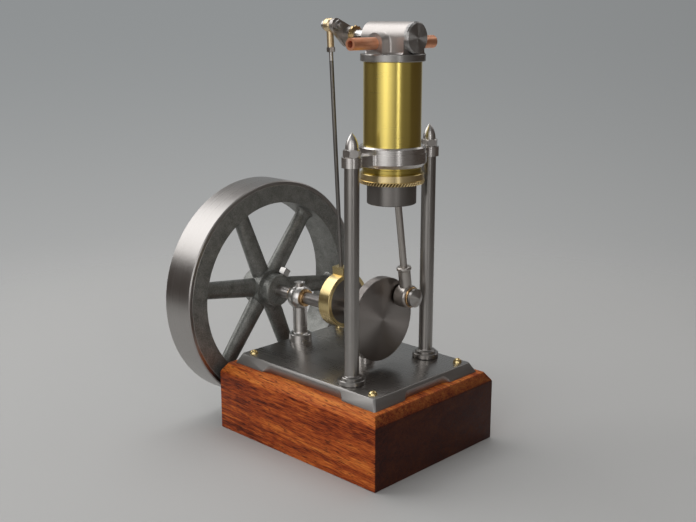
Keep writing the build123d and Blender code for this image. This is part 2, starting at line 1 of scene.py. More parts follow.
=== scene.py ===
import json
import math

import bmesh
import bpy
from mathutils import Matrix, Vector

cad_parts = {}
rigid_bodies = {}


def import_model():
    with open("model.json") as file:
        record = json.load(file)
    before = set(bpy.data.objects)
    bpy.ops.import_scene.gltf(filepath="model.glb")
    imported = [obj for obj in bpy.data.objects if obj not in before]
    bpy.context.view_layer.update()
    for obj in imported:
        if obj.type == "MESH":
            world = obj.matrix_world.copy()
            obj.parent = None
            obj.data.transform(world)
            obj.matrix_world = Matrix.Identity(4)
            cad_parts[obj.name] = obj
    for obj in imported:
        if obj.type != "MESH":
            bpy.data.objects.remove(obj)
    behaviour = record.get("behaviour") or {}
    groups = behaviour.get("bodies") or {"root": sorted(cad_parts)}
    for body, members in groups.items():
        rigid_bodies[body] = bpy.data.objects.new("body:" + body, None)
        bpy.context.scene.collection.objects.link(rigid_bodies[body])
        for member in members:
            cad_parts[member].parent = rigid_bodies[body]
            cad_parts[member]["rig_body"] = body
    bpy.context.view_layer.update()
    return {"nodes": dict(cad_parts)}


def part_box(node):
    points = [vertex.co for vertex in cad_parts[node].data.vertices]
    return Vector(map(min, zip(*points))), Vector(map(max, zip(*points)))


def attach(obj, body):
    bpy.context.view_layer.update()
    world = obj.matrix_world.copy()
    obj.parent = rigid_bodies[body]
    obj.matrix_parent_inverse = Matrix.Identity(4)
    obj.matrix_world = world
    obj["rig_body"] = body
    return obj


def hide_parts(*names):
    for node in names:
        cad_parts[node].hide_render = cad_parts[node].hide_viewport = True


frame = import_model()

# Wooden base: one block of mahogany with the grain along the crankshaft, planed, its top edges
# cut to a wide bevel and oiled. The plate is screwed down on it.
# The corners are eased by hand with fine paper.
MM = 0.001
MERGE_DISTANCE = MM / 200
FLAT_ANGLE = 0.5
SHARP_ANGLE = 25
SMOOTH_ANGLE = 30
NOISE_RANGE = (0.3, 0.7)
BLOCK_EASE = 0.7 * MM
GRAIN_DIP = -1.5
GRAIN_DRIFT = 4
FIGURE_SIZE = (95, 26, 11)
FIGURE_SHARE = 0.36
STREAK_SIZE = (42, 2.6, 1.9)
STREAK_SHARE = 0.36
FIBRE_SIZE = (9, 0.75, 0.6)
FIBRE_SHARE = 0.33
FIBRE_HEIGHT = 0.4
PORE_SIZE = (6.5, 0.7, 0.55)
PORE_LIMITS = (0.57, 0.66)
PORE_DARKENING = 0.70
PORE_DEPTH = 0.06 * MM
PORE_BROWN = (0.045, 0.010, 0.005, 1)
GRAIN_STOPS = ((0.39, (0.060, 0.0090, 0.0040, 1)), (0.48, (0.290, 0.0480, 0.0110, 1)),
               (0.56, (0.510, 0.1120, 0.0210, 1)), (0.66, (0.740, 0.2350, 0.0460, 1)))
# Painted light: faces that turn upwards, the bevel most of all, get a lighter tone of the grain.
TOP_LIGHT_LIMITS = (0.4, 0.6)
TOP_LIGHT_TONES = (-0.008, 0.052)
# The ends are darker end grain, darkened further still as painted shade.
END_GRAIN_AND_SHADE_LIMITS = (0.38, 0.95)
END_GRAIN_AND_SHADE_DARKENING = 0.92
END_GRAIN_AND_SHADE_BROWN = (0.022, 0.0085, 0.0075, 1)
OIL_ROUGHNESS = (0.40, 0.55)
OIL_SHEEN = 0.14


def add_node(tree, kind, sockets=None, **settings):
    made = tree.nodes.new(kind)
    for name, value in settings.items():
        setattr(made, name, value)
    for socket, value in (sockets or {}).items():
        if isinstance(value, bpy.types.NodeSocket):
            tree.links.new(value, made.inputs[socket])
        else:
            made.inputs[socket].default_value = value
    return made


def new_finish(name, metallic):
    finish = bpy.data.materials.new(name)
    finish.use_nodes = True
    tree = finish.node_tree
    shader = tree.nodes["Principled BSDF"]
    shader.inputs["Metallic"].default_value = metallic
    return finish, tree, shader


def object_place(tree):
    return add_node(tree, "ShaderNodeTexCoord").outputs["Object"]


def in_millimetres(tree, stretch, turn=(0, 0, 0)):
    """The object's own coordinates, in millimetres, with a pattern's length along each axis."""
    turned = add_node(tree, "ShaderNodeMapping", {"Vector": object_place(tree), "Rotation": turn})
    scale = tuple(1 / (MM * length) for length in stretch)
    made = add_node(tree, "ShaderNodeMapping", {"Vector": turned.outputs[0], "Scale": scale})
    return made.outputs[0]


def noise(tree, place, detail=3.0, roughness=0.55, distortion=0.0):
    made = add_node(tree, "ShaderNodeTexNoise",
                    {"Vector": place, "Scale": 1.0, "Detail": detail, "Roughness": roughness,
                     "Distortion": distortion})
    return made.outputs[0]


def remap(tree, value, low, high, to_low=0.0, to_high=1.0, smooth=False):
    kind = "SMOOTHSTEP" if smooth else "LINEAR"
    made = add_node(tree, "ShaderNodeMapRange", {0: value, 1: low, 2: high, 3: to_low, 4: to_high},
                    interpolation_type=kind)
    return made.outputs[0]


def mix(tree, share, first, second):
    made = add_node(tree, "ShaderNodeMix", {0: share, 6: first, 7: second}, data_type="RGBA")
    return made.outputs[2]


def calc(tree, kind, first, second=0.0):
    return add_node(tree, "ShaderNodeMath", {0: first, 1: second}, operation=kind).outputs[0]


def weighted_sum(tree, *terms):
    total = None
    for value, share in terms:
        part = calc(tree, "MULTIPLY", value, share)
        total = part if total is None else calc(tree, "ADD", total, part)
    return total


def separated(tree, vector):
    return add_node(tree, "ShaderNodeSeparateXYZ", {0: vector}).outputs


def facing_way(tree):
    return separated(tree, add_node(tree, "ShaderNodeNewGeometry").outputs["Normal"])


def relief(tree, height, depth, strength):
    made = add_node(tree, "ShaderNodeBump",
                    {"Height": height, "Distance": depth, "Strength": strength})
    return made.outputs[0]


def mahogany():
    """Red brown streaks along the grain with open pores, painted light on upward faces such as the
    bevel, and ends darkened as end grain and as painted shade.
    """
    finish, tree, shader = new_finish("oiled mahogany", 0.0)
    slope = (0, math.radians(GRAIN_DIP), math.radians(GRAIN_DRIFT))
    figure = noise(tree, in_millimetres(tree, FIGURE_SIZE, slope), detail=3, distortion=0.8)
    streak = noise(tree, in_millimetres(tree, STREAK_SIZE, slope), detail=4, distortion=0.3)
    fibre = noise(tree, in_millimetres(tree, FIBRE_SIZE, slope), detail=3)
    pore = noise(tree, in_millimetres(tree, PORE_SIZE, slope), detail=1)
    tone = weighted_sum(tree, (figure, FIGURE_SHARE), (streak, STREAK_SHARE), (fibre, FIBRE_SHARE))
    facing = facing_way(tree)
    # Painted light: upward faces such as the bevel are made lighter in colour.
    bevel = remap(tree, facing["Z"], *TOP_LIGHT_LIMITS, *TOP_LIGHT_TONES)
    ramp = add_node(tree, "ShaderNodeValToRGB", {0: calc(tree, "ADD", tone, bevel)})
    for place, _ in GRAIN_STOPS[1:-1]:
        ramp.color_ramp.elements.new(place)
    for element, (place, colour) in zip(ramp.color_ramp.elements, GRAIN_STOPS):
        element.position = place
        element.color = colour
    open_pore = remap(tree, pore, *PORE_LIMITS)
    pore_share = calc(tree, "MULTIPLY", open_pore, PORE_DARKENING)
    colour = mix(tree, pore_share, ramp.outputs[0], PORE_BROWN)
    # End grain and painted shade: the ends are darkened towards a very dark brown.
    end_grain_and_shade = remap(tree, calc(tree, "ABSOLUTE", facing["X"]), *END_GRAIN_AND_SHADE_LIMITS)
    end_grain_and_shade_share = calc(tree, "MULTIPLY", end_grain_and_shade, END_GRAIN_AND_SHADE_DARKENING)
    colour = mix(tree, end_grain_and_shade_share, colour, END_GRAIN_AND_SHADE_BROWN)
    tree.links.new(colour, shader.inputs["Base Color"])
    dull = remap(tree, streak, *NOISE_RANGE, *OIL_ROUGHNESS)
    tree.links.new(dull, shader.inputs["Roughness"])
    shader.inputs["Specular IOR Level"].default_value = OIL_SHEEN
    surface = calc(tree, "SUBTRACT", calc(tree, "MULTIPLY", fibre, FIBRE_HEIGHT), open_pore)
    tree.links.new(relief(tree, surface, PORE_DEPTH, 0.6), shader.inputs["Normal"])
    return finish


def finished_piece(name, mesh, body, *stands_for):
    piece = bpy.data.objects.new(name, mesh)
    bpy.context.scene.collection.objects.link(piece)
    mesh.shade_smooth()
    mesh.set_sharp_from_angle(angle=math.radians(SMOOTH_ANGLE))
    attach(piece, body)
    if stands_for:
        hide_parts(*stands_for)
    return piece


def eased_copy(node, ease, segments=2):
    """A merged copy of a CAD node with its sharp edges rounded off, which stands for that node."""
    source = frame["nodes"][node]
    shape = bmesh.new()
    shape.from_mesh(source.data)
    bmesh.ops.remove_doubles(shape, verts=shape.verts, dist=MERGE_DISTANCE)
    bmesh.ops.dissolve_limit(shape, angle_limit=math.radians(FLAT_ANGLE), verts=shape.verts,
                             edges=shape.edges)
    least = math.radians(SHARP_ANGLE)
    sharp = [edge for edge in shape.edges if edge.calc_face_angle(0) > least]
    bmesh.ops.bevel(shape, geom=sharp, offset=ease, offset_type="OFFSET", segments=segments,
                    profile=0.5, affect="EDGES", clamp_overlap=True)
    mesh = bpy.data.meshes.new("eased_" + node)
    shape.to_mesh(mesh)
    shape.free()
    return finished_piece("eased_" + node, mesh, source["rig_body"], node)


def give_finish(piece, finish):
    piece.data.materials.clear()
    piece.data.materials.append(finish)


block = eased_copy("wooden_base", BLOCK_EASE, segments=3)
give_finish(block, mahogany())

# Base plate: mild steel a quarter of an inch thick with slanted sides, ground and rubbed with fine
# paper along its length, with a shallow milled recess in each side between the corner blocks.
# Four brass round-head wood screws hold it down.
PLATE_EASE = 0.3 * MM
PLATE_STEEL = (0.38, 0.365, 0.35)
FILED_STEEL = (0.35, 0.338, 0.326, 1)
FILED_ROUGHNESS = 0.46
SIDE_LIMITS = (0.97, 0.85)
MARK_SHARE = 0.6
CLOUD_SHARE = 0.4
CLOUD_SIZE = (26, 26, 26)
SCRATCH_DEPTH = 0.0006 * MM


def vary(tree, shader, shade, colour, tone, roughness, spread):
    """Lets a shade move the colour and the roughness of a metal a little to both sides."""
    dark = tuple(channel * (1 - tone) for channel in colour) + (1,)
    light = tuple(min(1, channel * (1 + tone)) for channel in colour) + (1,)
    tint = mix(tree, remap(tree, shade, *NOISE_RANGE), dark, light)
    tree.links.new(tint, shader.inputs["Base Color"])
    dull = remap(tree, shade, *NOISE_RANGE, roughness - spread, roughness + spread)
    tree.links.new(dull, shader.inputs["Roughness"])


def rubbed_metal(name, colour, roughness, stretch, tone=0.06, spread=0.03):
    """A flat metal surface rubbed one way: long fine scratches, with clouds of duller metal."""
    finish, tree, shader = new_finish(name, 1.0)
    scratch = noise(tree, in_millimetres(tree, stretch), detail=2, roughness=0.6)
    cloud = noise(tree, in_millimetres(tree, CLOUD_SIZE), detail=2)
    shade = weighted_sum(tree, (scratch, MARK_SHARE), (cloud, CLOUD_SHARE))
    vary(tree, shader, shade, colour, tone, roughness, spread)
    tree.links.new(relief(tree, scratch, SCRATCH_DEPTH, 0.5), shader.inputs["Normal"])
    return finish


def mix_values(tree, share, first, second):
    made = add_node(tree, "ShaderNodeMix", {0: share, 2: first, 3: second}, data_type="FLOAT")
    return made.outputs[0]


def linked_to(socket):
    return socket.links[0].from_socket


def plate_steel():
    """Rubbed steel on the top, and duller filed steel on the slanted sides."""
    finish = rubbed_metal("rubbed plate steel", PLATE_STEEL, roughness=0.28,
                          stretch=(30, 0.5, 0.5), tone=0.07)
    tree = finish.node_tree
    shader = tree.nodes["Principled BSDF"]
    side = remap(tree, facing_way(tree)["Z"], *SIDE_LIMITS)
    colour = shader.inputs["Base Color"]
    tree.links.new(mix(tree, side, linked_to(colour), FILED_STEEL), colour)
    dull = shader.inputs["Roughness"]
    tree.links.new(mix_values(tree, side, linked_to(dull), FILED_ROUGHNESS), dull)
    return finish


plate = eased_copy("base_plate", PLATE_EASE)
give_finish(plate, plate_steel())

SCREW_HEAD = 5.6
SCREW_DOME = 2.6
SCREW_SLOT = 0.9
SCREW_SLOT_DEPTH = 1.2
SCREW_SIDES = 48
SCREW_SEED = 3
SCREW_INSET_X = 9.5 * MM
SCREW_INSET_Y = 8.7 * MM
SCREW_BRASS = (0.83, 0.66, 0.33)


def tree_input(tree, name, kind, default=None):
    socket = tree.interface.new_socket(name, in_out="INPUT", socket_type=kind)
    if default is not None:
        socket.default_value = default


def new_geometry_tree(name):
    tree = bpy.data.node_groups.new(name, "GeometryNodeTree")
    tree.is_modifier = True
    tree_input(tree, "Geometry", "NodeSocketGeometry")
    tree.interface.new_socket("Geometry", in_out="OUTPUT", socket_type="NodeSocketGeometry")
    return tree


def end_geometry_tree(tree, shape, finish):
    """Ends a tree with one plain mesh in one finish."""
    whole = add_node(tree, "GeometryNodeRealizeInstances", {0: shape})
    painted = add_node(tree, "GeometryNodeSetMaterial",
                       {"Geometry": whole.outputs[0], "Material": finish})
    add_node(tree, "NodeGroupOutput", {"Geometry": painted.outputs[0]})


def combined(tree, **axes):
    return add_node(tree, "ShaderNodeCombineXYZ", axes).outputs[0]


def cube(tree, x, y, z):
    size = combined(tree, X=x, Y=y, Z=z)
    return add_node(tree, "GeometryNodeMeshCube", {"Size": size}).outputs[0]


def raised(tree, shape, rise):
    lift = combined(tree, Z=rise)
    made = add_node(tree, "GeometryNodeTransform", {"Geometry": shape, "Translation": lift})
    return made.outputs[0]


def slotted_screws():
    """One slotted dome head on each point of the mesh, its slot turned by chance, sizes in mm."""
    tree = new_geometry_tree("slotted screws")
    tree_input(tree, "Head Diameter", "NodeSocketFloat", SCREW_HEAD)
    tree_input(tree, "Dome Height", "NodeSocketFloat", SCREW_DOME)
    tree_input(tree, "Skirt Height", "NodeSocketFloat", 0.0)
    tree_input(tree, "Slot Width", "NodeSocketFloat", SCREW_SLOT)
    tree_input(tree, "Slot Depth", "NodeSocketFloat", SCREW_SLOT_DEPTH)
    tree_input(tree, "Tilt", "NodeSocketVector")
    tree_input(tree, "Seed", "NodeSocketInt", SCREW_SEED)
    tree_input(tree, "Finish", "NodeSocketMaterial")
    given = add_node(tree, "NodeGroupInput").outputs
    radius = calc(tree, "DIVIDE", given["Head Diameter"], 2.0)
    dome = given["Dome Height"]
    height = calc(tree, "ADD", dome, given["Skirt Height"])
    squares = calc(tree, "ADD", calc(tree, "MULTIPLY", radius, radius),
                   calc(tree, "MULTIPLY", dome, dome))
    ball_radius = calc(tree, "DIVIDE", squares, calc(tree, "MULTIPLY", dome, 2.0))
    ball = add_node(tree, "GeometryNodeMeshUVSphere",
                    {"Segments": SCREW_SIDES, "Rings": SCREW_SIDES, "Radius": ball_radius})
    ball = raised(tree, ball.outputs[0], calc(tree, "SUBTRACT", height, ball_radius))
    wide = calc(tree, "MULTIPLY", ball_radius, 3.0)
    under = raised(tree, cube(tree, wide, wide, wide), calc(tree, "DIVIDE", wide, -2.0))
    slot_bottom = calc(tree, "SUBTRACT", height, given["Slot Depth"])
    slot_rise = calc(tree, "ADD", slot_bottom, calc(tree, "DIVIDE", wide, 2.0))
    slot = raised(tree, cube(tree, wide, given["Slot Width"], wide), slot_rise)
    cut = add_node(tree, "GeometryNodeMeshBoolean", {0: ball, 1: under}, operation="DIFFERENCE")
    tree.links.new(slot, cut.inputs[1])
    bar = add_node(tree, "GeometryNodeMeshCylinder",
                   {"Vertices": SCREW_SIDES, "Radius": radius, "Depth": wide})
    head = add_node(tree, "GeometryNodeMeshBoolean", {1: cut.outputs[0]}, operation="INTERSECT")
    tree.links.new(bar.outputs[0], head.inputs[1])
    chance = add_node(tree, "FunctionNodeRandomValue",
                      {2: 0.0, 3: math.pi, "Seed": given["Seed"]})
    turned = add_node(tree, "GeometryNodeInstanceOnPoints",
                      {"Points": given["Geometry"], "Instance": head.outputs[0],
                       "Rotation": combined(tree, Z=chance.outputs[1]), "Scale": (MM, MM, MM)})
    tilted = add_node(tree, "GeometryNodeRotateInstances",
                      {"Instances": turned.outputs[0], "Rotation": given["Tilt"],
                       "Local Space": True})
    end_geometry_tree(tree, tilted.outputs[0], given["Finish"])
    return tree


def grown(name, seat_mesh, tree, **sizes):
    """The plain mesh that a Geometry Nodes tree makes from a seat mesh."""
    seat = bpy.data.objects.new(name + "_seat", seat_mesh)
    bpy.context.scene.collection.objects.link(seat)
    modifier = seat.modifiers.new(name, "NODES")
    modifier.node_group = tree
    inputs = [item for item in tree.interface.items_tree if item.in_out == "INPUT"]
    by_name = {item.name: item.identifier for item in inputs}
    for title, value in sizes.items():
        modifier[by_name[title.replace("_", " ")]] = value
    bpy.context.view_layer.update()
    evaluated = seat.evaluated_get(bpy.context.evaluated_depsgraph_get())
    mesh = bpy.data.meshes.new_from_object(evaluated)
    mesh.name = name
    seat.modifiers.remove(modifier)
    bpy.data.objects.remove(seat)
    return mesh


def points_mesh(name, points):
    mesh = bpy.data.meshes.new(name)
    mesh.from_pydata(points, [], [])
    return mesh


screw_brass = rubbed_metal("screw brass", SCREW_BRASS, roughness=0.26, stretch=(1.2, 1.2, 1.2))
screw_tree = slotted_screws()
plate_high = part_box("base_plate")[1]
screw_x = plate_high.x - SCREW_INSET_X
screw_y = plate_high.y - SCREW_INSET_Y
screw_seats = [(side_x * screw_x, side_y * screw_y, plate_high.z)
               for side_x in (-1, 1) for side_y in (-1, 1)]
screw_mesh = grown("plate_screws", points_mesh("plate_screw_seats", screw_seats), screw_tree,
                   Finish=screw_brass)
screws = finished_piece("plate_screws", screw_mesh, "frame")

# Columns: two round bars of mild steel, turned in one with a ring and a foot, with a stud at the
# top that goes through the yoke. They are left as turned, wiped with fine paper in the lathe.
STEEL = (0.34, 0.325, 0.31)
ACROSS_THE_LINES = 0.25


def vector_calc(tree, kind, first, second=None):
    sockets = {0: first}
    if second is not None:
        sockets["Scale" if kind == "SCALE" else 1] = second
    made = add_node(tree, "ShaderNodeVectorMath", sockets, operation=kind)
    return made.outputs["Value" if kind in ("LENGTH", "DOT_PRODUCT") else "Vector"]


def lathe_coordinates(tree, axis, centre):
    """Distance from an axis and distance along it, in mm: what a lathe tool leaves lines in."""
    shifted = vector_calc(tree, "SUBTRACT", object_place(tree), tuple(centre))
    scaled = vector_calc(tree, "SCALE", shifted, 1 / MM)
    along = separated(tree, scaled)[axis]
    keep = tuple(0.0 if name == axis else 1.0 for name in "XYZ")
    radius = vector_calc(tree, "LENGTH", vector_calc(tree, "MULTIPLY", scaled, keep))
    return radius, along


def sheen_across(tree, shader, axis, anisotropy):
    """Spreads the highlights across the lines that a lathe tool leaves round an axis."""
    shader.inputs["Anisotropic"].default_value = anisotropy
    shader.inputs["Anisotropic Rotation"].default_value = ACROSS_THE_LINES
    tangent = add_node(tree, "ShaderNodeTangent", direction_type="RADIAL", axis=axis)
    tree.links.new(tangent.outputs[0], shader.inputs["Tangent"])


def turned_metal(name, colour, roughness, axis, centre, pitch=0.5, tone=0.05, spread=0.02,
                 anisotropy=0.5):
    """Metal with the fine rings of a lathe tool round an axis, and a soft sheen across them."""
    finish, tree, shader = new_finish(name, 1.0)
    radius, along = lathe_coordinates(tree, axis, centre)
    ring = vector_calc(tree, "SCALE", combined(tree, X=radius, Y=along), 1 / pitch)
    line = noise(tree, ring, detail=2, roughness=0.6)
    cloud = noise(tree, in_millimetres(tree, CLOUD_SIZE), detail=2)
    shade = weighted_sum(tree, (line, MARK_SHARE), (cloud, CLOUD_SHARE))
    vary(tree, shader, shade, colour, tone, roughness, spread)
    sheen_across(tree, shader, axis, anisotropy)
    return finish


def middle(node):
    low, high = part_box(node)
    return (low + high) / 2


def dress(node, finish):
    give_finish(frame["nodes"][node], finish)


def dress_turned(node, title, colour, roughness, axis, centre=None, **marks):
    """Dresses a node in metal turned round its own middle, or round a given centre."""
    if centre is None:
        centre = middle(node)
    dress(node, turned_metal(title, colour, roughness, axis, centre, **marks))


for node in ("column_front", "column_rear"):
    dress_turned(node, "turned " + node, STEEL, roughness=0.32, axis="Z")

# Finial nuts: hexagon steel drawn up on the column studs, each turned to a point and polished.
# They clamp the yoke down on the shoulders of the columns.
BRIGHT_STEEL = (0.62, 0.60, 0.58)
for node in ("finial_front", "finial_rear"):
    dress_turned(node, "polished " + node, BRIGHT_STEEL, roughness=0.30, axis="Z", anisotropy=0.35)

# Yoke: a steel ring with two ears, bored to fit the cylinder and faced in the lathe, so that its
# rim is bright and its sides are drawn with a file and paper.
dress_turned("yoke", "turned yoke", BRIGHT_STEEL, roughness=0.28, axis="Z", anisotropy=0.4)

# Cylinder: an iron liner in a brass jacket, held in the yoke by a brass ring nut from below and
# closed at the top by a steel cover. The liner's skirt is left bare and dark.
LINER_IRON = (0.25, 0.237, 0.225)
BRASS = (0.82, 0.655, 0.18)
COVER_STEEL = (0.37, 0.36, 0.345)
dress_turned("cylinder_liner", "bare liner iron", LINER_IRON, roughness=0.40, axis="Z",
             anisotropy=0.3)
dress_turned("cylinder_jacket", "turned jacket brass", BRASS, roughness=0.28, axis="Z",
             pitch=1.2, tone=0.02, spread=0.008)
dress_turned("cylinder_cover", "turned cover steel", COVER_STEEL, roughness=0.40, axis="Z")

# Ring nut: turned brass, screwed up under the yoke: a plain band between a thin neck and a flange,
# whose edge is cut with slanted teeth for a hook spanner or a thumb.
NUT_TEETH = 64
NUT_TOOTH_DEPTH = 0.8 * MM
NUT_TOOTH_TOP = 2.2 * MM
NUT_TOOTH_ROWS = 9
NUT_HALF_PITCH = 0.5
NUT_FLANK = (0.18, 0.36)
NUT_RUN_OUT = (0.0, 0.2)
# Painted shade between the teeth: where it lies on the flanks and how it runs out up the rim.
NUT_SHADE_FLANK = (0.24, 0.36)
NUT_SHADE_RUN_OUT = (0.0, 0.15)
NUT_TAPER = 0.35 * MM
NUT_SLANT = 0.8
NUT_STEPS = 1152
NUT_ROOT_WALL = 1.0 * MM
NUT_FLANGE_TOP = 2.4 * MM
NUT_BAND_WALL = 1.95 * MM
NUT_BAND_TOP = 6.3 * MM
NUT_GROOVE_WALL = 0.35 * MM
NUT_NECK_WALL = 0.55 * MM
NUT_NECK_BOTTOM = 6.8 * MM
NUT_EASE = 0.3 * MM
NUT_BRASS = (0.85, 0.68, 0.36)
# Painted shade: the neck under the yoke is given darker brass.
NECK_SHADE_BRASS = (0.58, 0.45, 0.12, 1)
# Painted shade: the dark colour laid in the gaps between the teeth.
TOOTH_GAP_SHADE = (0.10, 0.06, 0.025, 1)


def lathe(name, outline, centre, steps):
    """A closed outline of (radius, height) points turned round an upright axis into a mesh."""
    verts = []
    faces = []
    count = len(outline)
    for step in range(steps):
        turn = 2 * math.pi * step / steps
        following = (step + 1) % steps
        for point, (radius, height) in enumerate(outline):
            across = Vector((radius * math.cos(turn), radius * math.sin(turn), height))
            verts.append(across + Vector(centre))
            after = (point + 1) % count
            faces.append((step * count + point, following * count + point,
                          following * count + after, step * count + after))
    mesh = bpy.data.meshes.new(name)
    mesh.from_pydata(verts, [], faces)
    shape = bmesh.new()
    shape.from_mesh(mesh)
    bmesh.ops.recalc_face_normals(shape, faces=shape.faces)
    shape.to_mesh(mesh)
    shape.free()
    return mesh


def slanted_teeth():
    """Cuts slanted teeth into the lower rim of a turned ring, by moving its points inwards."""
    tree = new_geometry_tree("slanted teeth")
    tree_input(tree, "Teeth", "NodeSocketFloat", NUT_TEETH)
    tree_input(tree, "Depth", "NodeSocketFloat", NUT_TOOTH_DEPTH)
    tree_input(tree, "Slant", "NodeSocketFloat", NUT_SLANT)
    tree_input(tree, "Centre", "NodeSocketVector")
    tree_input(tree, "Top", "NodeSocketFloat")
    tree_input(tree, "Height", "NodeSocketFloat", NUT_TOOTH_TOP)
    tree_input(tree, "Root Radius", "NodeSocketFloat")
    tree_input(tree, "Finish", "NodeSocketMaterial")
    given = add_node(tree, "NodeGroupInput").outputs
    place = add_node(tree, "GeometryNodeInputPosition").outputs[0]
    apart = vector_calc(tree, "SUBTRACT", place, given["Centre"])
    flat = vector_calc(tree, "MULTIPLY", apart, (1, 1, 0))
    radius = vector_calc(tree, "LENGTH", flat)
    outward = vector_calc(tree, "NORMALIZE", flat)
    parts = separated(tree, apart)
    turn = calc(tree, "DIVIDE", calc(tree, "ARCTAN2", parts["Y"], parts["X"]), 2 * math.pi)
    drop = calc(tree, "SUBTRACT", given["Top"], separated(tree, place)["Z"])
    below = calc(tree, "DIVIDE", drop, given["Height"])
    phase = weighted_sum(tree, (turn, given["Teeth"]), (below, given["Slant"]))
    gap = remap(tree, calc(tree, "PINGPONG", phase, NUT_HALF_PITCH), *NUT_FLANK)
    cut = calc(tree, "MULTIPLY", gap, given["Depth"])
    inside = remap(tree, below, *NUT_RUN_OUT)
    outer = calc(tree, "GREATER_THAN", radius, given["Root Radius"])
    amount = calc(tree, "MULTIPLY", calc(tree, "MULTIPLY", cut, inside),
                  calc(tree, "MULTIPLY", outer, -1.0))
    offset = vector_calc(tree, "SCALE", outward, amount)
    moved = add_node(tree, "GeometryNodeSetPosition",
                     {"Geometry": given["Geometry"], "Offset": offset})
    end_geometry_tree(tree, moved.outputs[0], given["Finish"])
    return tree


def ring_nut_outline():
    low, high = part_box("ring_nut")
    jacket_low, jacket_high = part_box("cylinder_jacket")
    liner_low, liner_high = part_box("cylinder_liner")
    height = high.z - low.z
    flange = (high.x - low.x) / 2
    jacket = (jacket_high.x - jacket_low.x) / 2
    liner = (liner_high.x - liner_low.x) / 2
    hook = jacket_low.z - low.z
    band = jacket + NUT_BAND_WALL
    groove = jacket + NUT_GROOVE_WALL
    neck = jacket + NUT_NECK_WALL
    outline = [(jacket, hook), (liner, hook), (liner, 0.0)]
    for row in range(NUT_TOOTH_ROWS):
        share = row / (NUT_TOOTH_ROWS - 1)
        outline.append((flange - NUT_TAPER * (1 - share) ** 2, share * NUT_TOOTH_TOP))
    outline += [(band, NUT_FLANGE_TOP), (band, NUT_BAND_TOP - NUT_EASE),
                (band - NUT_EASE, NUT_BAND_TOP), (groove, NUT_BAND_TOP),
                (groove, NUT_NECK_BOTTOM), (neck - NUT_EASE, NUT_NECK_BOTTOM),
                (neck, NUT_NECK_BOTTOM + NUT_EASE), (neck, height - NUT_EASE),
                (neck - NUT_EASE, height), (jacket, height)]
    return outline, jacket


def nut_brass(centre, bottom):
    """Turned brass, with painted shade on the neck under the yoke and in the gaps between the
    teeth.
    """
    finish = turned_metal("turned nut brass", NUT_BRASS, roughness=0.30, axis="Z", centre=centre)
    tree = finish.node_tree
    parts = separated(tree, object_place(tree))
    across = calc(tree, "SUBTRACT", parts["X"], centre.x)
    turn = calc(tree, "DIVIDE", calc(tree, "ARCTAN2", parts["Y"], across), 2 * math.pi)
    drop = calc(tree, "SUBTRACT", bottom + NUT_TOOTH_TOP, parts["Z"])
    below = calc(tree, "DIVIDE", drop, NUT_TOOTH_TOP)
    phase = weighted_sum(tree, (turn, NUT_TEETH), (below, NUT_SLANT))
    # Painted shade: the gaps between the teeth are darkened.
    gap = remap(tree, calc(tree, "PINGPONG", phase, NUT_HALF_PITCH), *NUT_SHADE_FLANK)
    gap = calc(tree, "MULTIPLY", gap, remap(tree, below, *NUT_SHADE_RUN_OUT))
    # Painted shade: the neck above the band is darker, as under the yoke.
    band_top = bottom + NUT_BAND_TOP
    neck = remap(tree, parts["Z"], band_top - NUT_EASE, band_top)
    colour = tree.nodes["Principled BSDF"].inputs["Base Color"]
    bright = mix(tree, neck, linked_to(colour), NECK_SHADE_BRASS)
    tree.links.new(mix(tree, gap, bright, TOOTH_GAP_SHADE), colour)
    return finish


nut_centre = middle("ring_nut")
nut_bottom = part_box("ring_nut")[0].z
brass_nut = nut_brass(nut_centre, nut_bottom)
nut_outline, nut_bore = ring_nut_outline()
nut_blank = lathe("ring_nut_blank", nut_outline, (nut_centre.x, nut_centre.y, nut_bottom),
                  NUT_STEPS)
nut_mesh = grown("serrated_ring_nut", nut_blank, slanted_teeth(), Centre=tuple(nut_centre),
                 Top=nut_bottom + NUT_TOOTH_TOP, Root_Radius=nut_bore + NUT_ROOT_WALL,
                 Finish=brass_nut)
ring_nut = finished_piece("serrated_ring_nut", nut_mesh, "frame", "ring_nut")

# Valve chest: a block of steel milled to an arch, with a round barrel behind and a pipe boss on
# each side, lapped to a dull silver. The end cap is turned and pressed in at the front.
CHEST_STEEL = (0.50, 0.47, 0.45)
CAP_STEEL = (0.50, 0.49, 0.48)
dress("valve_chest", rubbed_metal("satin chest steel", CHEST_STEEL, roughness=0.42,
                                  stretch=(0.8, 0.8, 9), tone=0.08))
dress_turned("valve_end_cap", "turned cap steel", CAP_STEEL, roughness=0.42, axis="X",
             anisotropy=0.95)

# Steam and exhaust pipes: short lengths of copper tube, soldered into the chest and cut off square,
# bright from the polishing cloth with a little brown left in it.
BRIGHT_COPPER = (0.96, 0.48, 0.29, 1)
BROWN_COPPER = (0.88, 0.37, 0.20, 1)
COPPER_METALLIC = 0.72
COPPER_ROUGHNESS = (0.30, 0.40)
STAIN_SIZE = (5, 7, 5)
STAIN_LIMITS = (0.35, 0.7)
DRAW_LINE_SIZE = (0.4, 12, 0.4)
DRAW_LINE_DEPTH = 0.0008 * MM


def drawn_copper():
    """Bright copper with fine lines along the tube and a few brown stains."""
    finish, tree, shader = new_finish("drawn copper", COPPER_METALLIC)
    stain = noise(tree, in_millimetres(tree, STAIN_SIZE), detail=4)
    draw_line = noise(tree, in_millimetres(tree, DRAW_LINE_SIZE), detail=3)
    colour = mix(tree, remap(tree, stain, *STAIN_LIMITS), BRIGHT_COPPER, BROWN_COPPER)
    tree.links.new(colour, shader.inputs["Base Color"])
    dull = remap(tree, stain, *NOISE_RANGE, *COPPER_ROUGHNESS)
    tree.links.new(dull, shader.inputs["Roughness"])
    tree.links.new(relief(tree, draw_line, DRAW_LINE_DEPTH, 0.5), shader.inputs["Normal"])
    return finish


